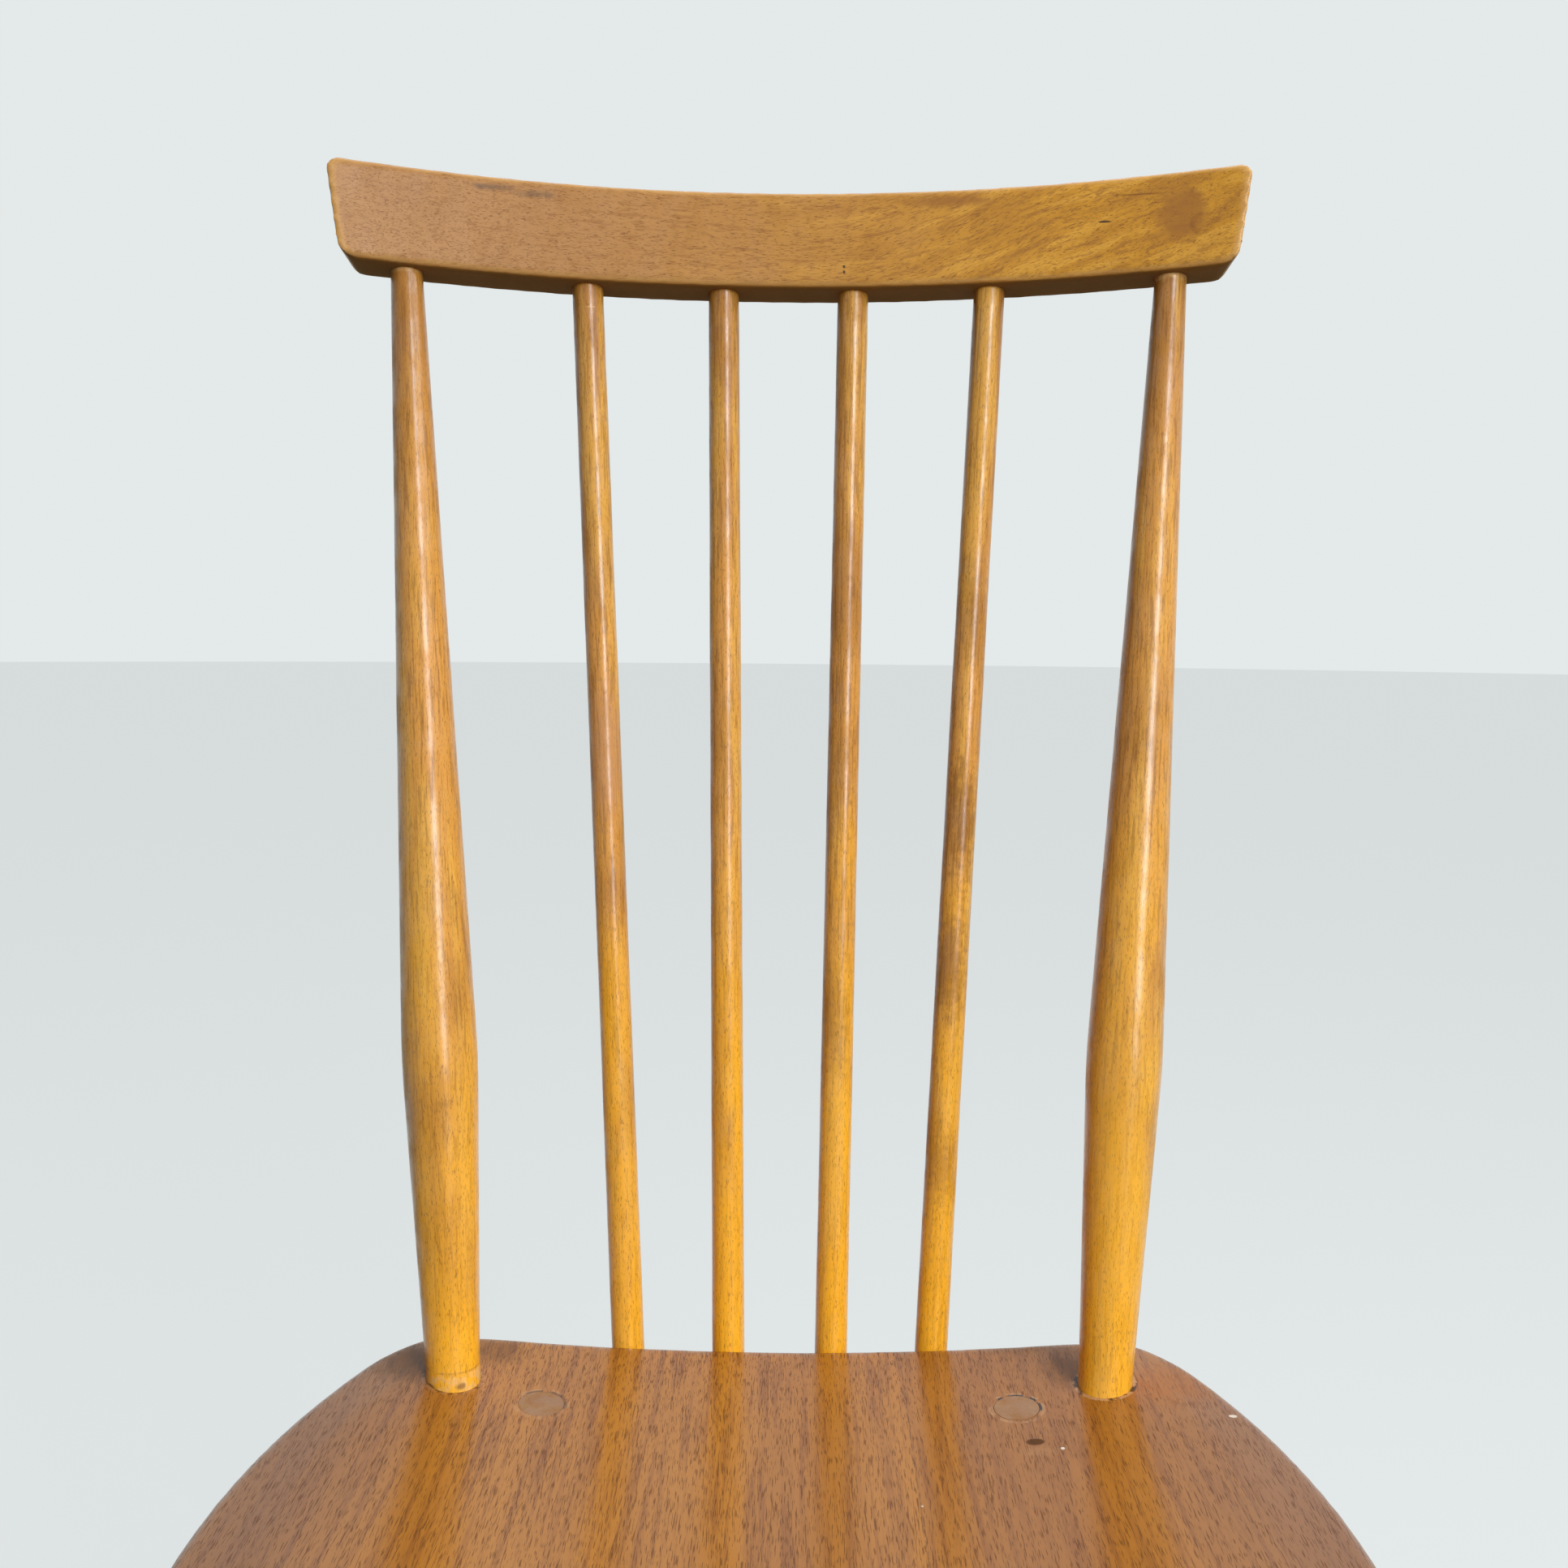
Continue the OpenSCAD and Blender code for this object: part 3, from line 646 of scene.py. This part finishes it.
class ChairShape(bpy.types.PropertyGroup):
    """How finely the pieces are modelled and how far their edges are worn."""

    sides: bpy.props.IntProperty(
        name="Turned sides", description="Sides of a turned piece", default=64, min=24)
    ring_step: bpy.props.FloatProperty(
        name="Ring step", description="Distance between the rings of a turned piece",
        default=6 * MM, unit="LENGTH")
    turned_sway: bpy.props.FloatProperty(
        name="Turned sway", description="How far a turned piece is from true",
        default=0.25 * MM, unit="LENGTH")
    seat_voxel: bpy.props.FloatProperty(
        name="Seat cell", description="Cell in which the seat's edges are eased",
        default=1.5 * MM, unit="LENGTH")
    seat_rounds: bpy.props.IntProperty(
        name="Seat easing", description="Rounds of easing of the seat", default=14)
    rail_voxel: bpy.props.FloatProperty(
        name="Rail cell", description="Cell in which the rail's edges are eased",
        default=1.1 * MM, unit="LENGTH")
    rail_rounds: bpy.props.IntProperty(
        name="Rail easing", description="Rounds of easing of the rail", default=6)
    face_sway: bpy.props.FloatProperty(
        name="Face sway", description="How far a flat or hollow face is from true",
        default=0.35 * MM, unit="LENGTH")
    glue_gap: bpy.props.FloatProperty(
        name="Glue gap", description="Gap round a glued end, on the radius",
        default=0.05 * MM, unit="LENGTH")
    glue_line: bpy.props.FloatProperty(
        name="Glue line", description="Thickness of the glue that the boards close over",
        default=0.1 * MM, unit="LENGTH")
    end_gap: bpy.props.FloatProperty(
        name="End gap", description="Gap behind a blind end", default=0.5 * MM, unit="LENGTH")
    rail_socket: bpy.props.FloatProperty(
        name="Rail socket", description="Depth of the sockets in the crest rail",
        default=24 * MM, unit="LENGTH")


def colour_prop(name, description, code):
    """A colour setting whose default is a hex code."""
    return bpy.props.FloatVectorProperty(
        name=name, description=description, default=paint(code), size=3, subtype="COLOR")


class ChairColours(bpy.types.PropertyGroup):
    """Colours of the woods and their varnish."""

    golden: colour_prop("Golden beech", "Turned wood low down", "ffba2a")
    leg: colour_prop("Leg beech", "Legs and stretchers", "d5963f")
    amber: colour_prop("Amber beech", "Turned wood at mid height", "dc9c48")
    honey: colour_prop("Honey beech", "Lighter bands of turned wood", "f2ba50")
    brown: colour_prop("Brown beech", "Darker streaks of turned wood", "ae7632")
    pore: colour_prop("Beech flecks", "Flecks in the beech", "6e3d14")
    burnt: colour_prop("Burnt patches", "Dark patches of the sticks", "77480f")
    pinkish: colour_prop("Pinkish patches", "Rubbed patches of the sticks", "c08b60")
    chipped: colour_prop("Chipped wood", "Bare wood where varnish chipped", "efc383")
    seat: colour_prop("Seat", "The seat's boards", "a86a20")
    seat_light: colour_prop("Seat light", "Paler stretches of the seat", "b67624")
    seat_dark: colour_prop("Seat dark", "Darker streaks of the seat", "8c521a")
    seat_edge: colour_prop("Seat edge", "The seat towards its left and right edges", "76503a")
    seat_pore: colour_prop("Seat pores", "Open pores of the seat", "5a3010")
    end_grain: colour_prop("End grain", "Leg ends that show in the seat", "825632")
    # Dirt, and beside the feet of the posts also painted shadow
    dirt_and_shadow: colour_prop("Dirt", "Dull dark dirt", "5d432e")
    reddish: colour_prop("Reddish patch", "Patch on the right shoulder", "b0682e")
    pale: colour_prop("Pale glue", "Old glue and rubbed rims", "c09468")
    white: colour_prop("White specks", "Specks of paint", "efe9dc")
    knot: colour_prop("Knot", "The small knot", "5a3a22")
    crack: colour_prop("Cracks", "Cracks and black dirt", "2e1c10")
    rail_tan: colour_prop("Rail tan", "The rail's left half", "b07e46")
    rail_gold: colour_prop("Rail gold", "The rail's right half", "c68d2b")
    rail_brown: colour_prop("Rail brown", "Darker clouds in the rail", "976228")
    rubbed: colour_prop("Rubbed edge", "Rubbed front edges of the rail", "cf9f5c")
    # Painted shade along the rail's lower edge
    lower_edge_shade: colour_prop("Rail arris", "The rail's lower edge", "a8681c")
    # Painted shade on the rail's underside
    underside_shade: colour_prop("Underside", "The rail's dull underside", "86602a")
    floor: colour_prop("Floor", "The plain floor", "787b7b")
    backdrop: colour_prop("Backdrop", "What stands behind the chair", "e4e9e9")


class ChairStage(bpy.types.PropertyGroup):
    """Camera and lamps."""

    eye: bpy.props.FloatVectorProperty(
        name="Eye", description="Place of the camera", subtype="TRANSLATION",
        default=(1.1 * MM, -526.0 * MM, 735.6 * MM), unit="LENGTH")
    pitch: bpy.props.FloatProperty(
        name="Pitch", description="Downward tilt of the camera",
        default=math.radians(5.675), subtype="ANGLE")
    yaw: bpy.props.FloatProperty(
        name="Yaw", description="Turn of the camera to the left",
        default=math.radians(0.1), subtype="ANGLE")
    roll: bpy.props.FloatProperty(
        name="Roll", description="Roll of the camera", default=math.radians(0.465),
        subtype="ANGLE")
    lens: bpy.props.FloatProperty(
        name="Lens", description="Focal length", default=36.76, subtype="DISTANCE_CAMERA")
    key_power: bpy.props.FloatProperty(
        name="Key lamp", description="Power of the tall lamp in front", default=53.0,
        subtype="POWER")
    top_power: bpy.props.FloatProperty(
        name="Top lamp", description="Power of the lamp overhead", default=20.0,
        subtype="POWER")
    back_strength: bpy.props.FloatProperty(
        name="Back light", description="Strength of the soft light from behind", default=0.8)
    fill: bpy.props.FloatProperty(
        name="Fill", description="Strength of the light from all round", default=0.1)
    lift: bpy.props.FloatProperty(
        name="Floor lift", description="How far the floor looks brighter than it is lit",
        default=0.8)


# ---- Pieces ----

def turned_piece(node):
    """Turns a node's piece again on its own axis, and stands it in its place."""
    shape = bpy.context.scene.chair_shape
    axis = Axis(node)
    rings = rings_of(node, axis)
    if node in LEGS:
        rings = leg_rings(node, axis, rings)
    piece = turn(rings, shape.sides, shape.ring_step)
    number = float(list(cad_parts).index(node))
    keep_own(piece, mesh_points(piece) + [0, 0, number])
    place(piece, axis.placing())
    uneven(piece, node, 50 * MM, shape.turned_sway, mid_level=0.75)
    return piece


def leg_rings(node, axis, rings):
    """A leg's rings, run on past its level foot and the flush end of its tenon."""
    points = points_of(node)
    heights, radii = axis.measure(points)
    foot = points[:, 2] < NEAR
    foot_height, foot_radius = heights[foot].mean(), radii[foot].mean()
    knee_height, knee_radius = rings[0]
    slope = (knee_radius - foot_radius) / (knee_height - foot_height)
    start = (foot_height - LEG_PAST, foot_radius - LEG_PAST * slope)
    return [start, *rings, (axis.length + LEG_PAST, rings[-1][1])]


class CHAIR_OT_sticks(bpy.types.Operator):
    """Turns the two posts and the four spindles"""

    bl_idname = "chair.sticks"
    bl_label = "Posts and Spindles"

    def execute(self, context):
        props = context.scene.chair_colours
        finish = turned_wood("amber_beech", props, props.golden, STICK_MARKS)
        for node in STICKS:
            piece = turned_piece(node)
            soften(piece, 40)
            finished(piece, node, finish)
        return {"FINISHED"}


class CHAIR_OT_legs(bpy.types.Operator):
    """Turns the legs and cuts their feet level and their tenons flush"""

    bl_idname = "chair.legs"
    bl_label = "Legs"

    def execute(self, context):
        props = context.scene.chair_colours
        ends = []
        for node in LEGS:
            centre = tuple(Axis(node).end / MM)
            ends.append(("end_grain", 0.8, centre, (12, 12, 10), 0.0, 0.9))
        finish = turned_wood("leg_beech", props, props.leg, ends)
        for node in LEGS:
            piece = turned_piece(node)
            cut_flat(piece, (0, 0, 0), (0, 0, -1))
            above = Vector(Axis(node).end) + Vector((0, 0, 1))
            hit, spot, normal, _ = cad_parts[node].ray_cast(above, (0, 0, -1))
            if not hit:
                raise RuntimeError(f"{node} has no flush end")
            cut_flat(piece, spot, normal)
            soften(piece, 40)
            finished(piece, node, finish)
        return {"FINISHED"}


class CHAIR_OT_stretchers(bpy.types.Operator):
    """Turns the three stretchers"""

    bl_idname = "chair.stretchers"
    bl_label = "Stretchers"

    def execute(self, context):
        props = context.scene.chair_colours
        finish = turned_wood("stretcher_beech", props, props.leg)
        for node in (*SIDE_STRETCHERS, CROSS_STRETCHER):
            piece = turned_piece(node)
            soften(piece, 40)
            finished(piece, node, finish)
        return {"FINISHED"}


def socket(node, high_end):
    """The axis of a turned node, with the radius of the hole for its high or low end."""
    axis = Axis(node)
    rings = rings_of(node, axis)
    # A stick's first and last rings are those of the ease on its ends
    pick = -1 if node in LEGS else (-2 if high_end else 1)
    return axis, rings[pick][1] + bpy.context.scene.chair_shape.glue_gap


class CHAIR_OT_seat(bpy.types.Operator):
    """Models the hollowed seat with its sockets and parts it into its three boards"""

    bl_idname = "chair.seat"
    bl_label = "Seat"

    def execute(self, context):
        shape = context.scene.chair_shape
        through = [socket(node, False) for node in LEGS]
        blind = [socket(node, False) for node in STICKS]
        copies = []
        for node in BOARDS:
            # The middle board is widened, so that the three join into one blank
            copy = copy_of(node, 0.2 * MM if node == BOARDS[1] else 0)
            close_bores(copy, through + blind)
            copies.append(copy)
        alone(*copies)
        bpy.ops.object.join()
        seat = bpy.context.object
        seat.name = "seat"
        hand_worn(seat, shape.seat_voxel, shape.seat_rounds, shape.face_sway, 60 * MM)
        for axis, radius in through:
            bore(seat, axis, radius, axis.length - DRILL_PAST, axis.length + DRILL_PAST)
        for axis, radius in blind:
            bore(seat, axis, radius, -shape.end_gap, DRILL_PAST)
        finish = seat_wood("seat_boards", context.scene.chair_colours)
        for node in BOARDS:
            low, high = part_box(node)
            line = shape.glue_line / 2
            board = add_to_scene(node, seat.data.copy())
            if node != BOARDS[0]:
                cut_flat(board, (low.x - line, 0, 0), (-1, 0, 0))
            if node != BOARDS[2]:
                cut_flat(board, (high.x + line, 0, 0), (1, 0, 0))
            soften(board, 35)
            finished(board, node, finish)
        bpy.data.objects.remove(seat)
        return {"FINISHED"}


class CHAIR_OT_rail(bpy.types.Operator):
    """Models the bent crest rail with its sockets"""

    bl_idname = "chair.rail"
    bl_label = "Crest Rail"

    def execute(self, context):
        shape = context.scene.chair_shape
        sockets = [socket(node, True) for node in STICKS]
        rail = copy_of(RAIL)
        close_bores(rail, sockets)
        hand_worn(rail, shape.rail_voxel, shape.rail_rounds, shape.face_sway, 50 * MM)
        for axis, radius in sockets:
            low = axis.length - 2 * shape.rail_socket
            bore(rail, axis, radius, low, axis.length + shape.end_gap)
        soften(rail, 35)
        finished(rail, RAIL, rail_wood("rail_board", context.scene.chair_colours))
        return {"FINISHED"}


def facing(direction):
    """The turn of a lamp that shines in a direction."""
    return Vector(direction).to_track_quat("-Z", "Y").to_euler()


def lamp(name, place_at, size, power):
    """A soft lamp that faces the middle of the chair."""
    light = bpy.data.lights.new(name, "AREA")
    light.shape = "RECTANGLE"
    light.size, light.size_y = size
    light.energy = power
    holder = add_to_scene(name, light)
    holder.location = place_at
    holder.rotation_euler = facing(Vector(LAMPS_FACE) - Vector(place_at))


class CHAIR_OT_stage(bpy.types.Operator):
    """Sets the floor, the lamps, the light from all round and the camera"""

    bl_idname = "chair.stage"
    bl_label = "Stage"

    def execute(self, context):
        scene = context.scene
        stage = scene.chair_stage
        pale = (*scene.chair_colours.backdrop, 1)
        bpy.ops.object.select_all(action="DESELECT")
        bpy.ops.mesh.primitive_circle_add(vertices=96, radius=30, fill_type="NGON")
        floor = bpy.context.object
        floor.name = "floor"
        f = material("floor_paint")
        grey = (*scene.chair_colours.floor, 1)
        lit = f.add("ShaderNodeBsdfDiffuse", None, {"Color": grey})
        glow = f.add("ShaderNodeEmission", None, {
            "Color": pale, "Strength": f.seen() * stage.lift})
        both = f.add("ShaderNodeAddShader", None, [lit, glow])
        f.add("ShaderNodeOutputMaterial", None, {"Surface": both})
        floor.data.materials.append(f.owner)

        f = Finish(bpy.data.worlds.new("room"))
        strength = stage.fill + f.seen() * (1 - stage.fill)
        room = f.add("ShaderNodeBackground", None, {"Color": pale, "Strength": strength})
        f.add("ShaderNodeOutputWorld", None, {"Surface": room})
        scene.world = f.owner

        lamp("tall_lamp", TALL_LAMP_AT, TALL_LAMP_SIZE, stage.key_power)
        lamp("top_lamp", TOP_LAMP_AT, TOP_LAMP_SIZE, stage.top_power)
        sun = bpy.data.lights.new("back_light", "SUN")
        sun.energy = stage.back_strength
        sun.angle = BACK_LIGHT_ANGLE
        add_to_scene("back_light", sun).rotation_euler = facing(BACK_LIGHT_RUNS)

        camera = bpy.data.cameras.new("camera")
        camera.sensor_width = 36
        camera.lens = stage.lens
        holder = add_to_scene("camera", camera)
        holder.matrix_world = (
            Matrix.Translation(stage.eye)
            @ Matrix.Rotation(stage.yaw, 4, "Z")
            @ Matrix.Rotation(math.pi / 2 - stage.pitch, 4, "X")
            @ Matrix.Rotation(stage.roll, 4, "Z"))
        scene.camera = holder
        scene.view_settings.view_transform = "Standard"
        return {"FINISHED"}


class CHAIR_PT_panel(bpy.types.Panel):
    """The settings, and a button for each step"""

    bl_idname = "CHAIR_PT_panel"
    bl_label = "Stick-back Chair"
    bl_space_type = "VIEW_3D"
    bl_region_type = "UI"
    bl_category = "Chair"

    def draw(self, context):
        for group in (context.scene.chair_shape, context.scene.chair_colours,
                      context.scene.chair_stage):
            box = self.layout.box()
            for name in group.bl_rna.properties.keys():
                if name not in ("rna_type", "name"):
                    box.prop(group, name)
        for operator in OPERATORS:
            self.layout.operator(operator.bl_idname)


OPERATORS = (
    CHAIR_OT_stage, CHAIR_OT_seat, CHAIR_OT_rail, CHAIR_OT_sticks,
    CHAIR_OT_legs, CHAIR_OT_stretchers,
)
SETTINGS = {
    "chair_shape": ChairShape, "chair_colours": ChairColours, "chair_stage": ChairStage,
}


def register():
    for cls in (*SETTINGS.values(), *OPERATORS, CHAIR_PT_panel):
        bpy.utils.register_class(cls)
    for name, cls in SETTINGS.items():
        setattr(bpy.types.Scene, name, bpy.props.PointerProperty(type=cls))


def unregister():
    for name in SETTINGS:
        delattr(bpy.types.Scene, name)
    for cls in reversed((*SETTINGS.values(), *OPERATORS, CHAIR_PT_panel)):
        bpy.utils.unregister_class(cls)


def main():
    register()
    bpy.ops.chair.stage()
    bpy.ops.chair.seat()
    bpy.ops.chair.rail()
    bpy.ops.chair.sticks()
    bpy.ops.chair.legs()
    bpy.ops.chair.stretchers()


if __name__ == "__main__":
    main()
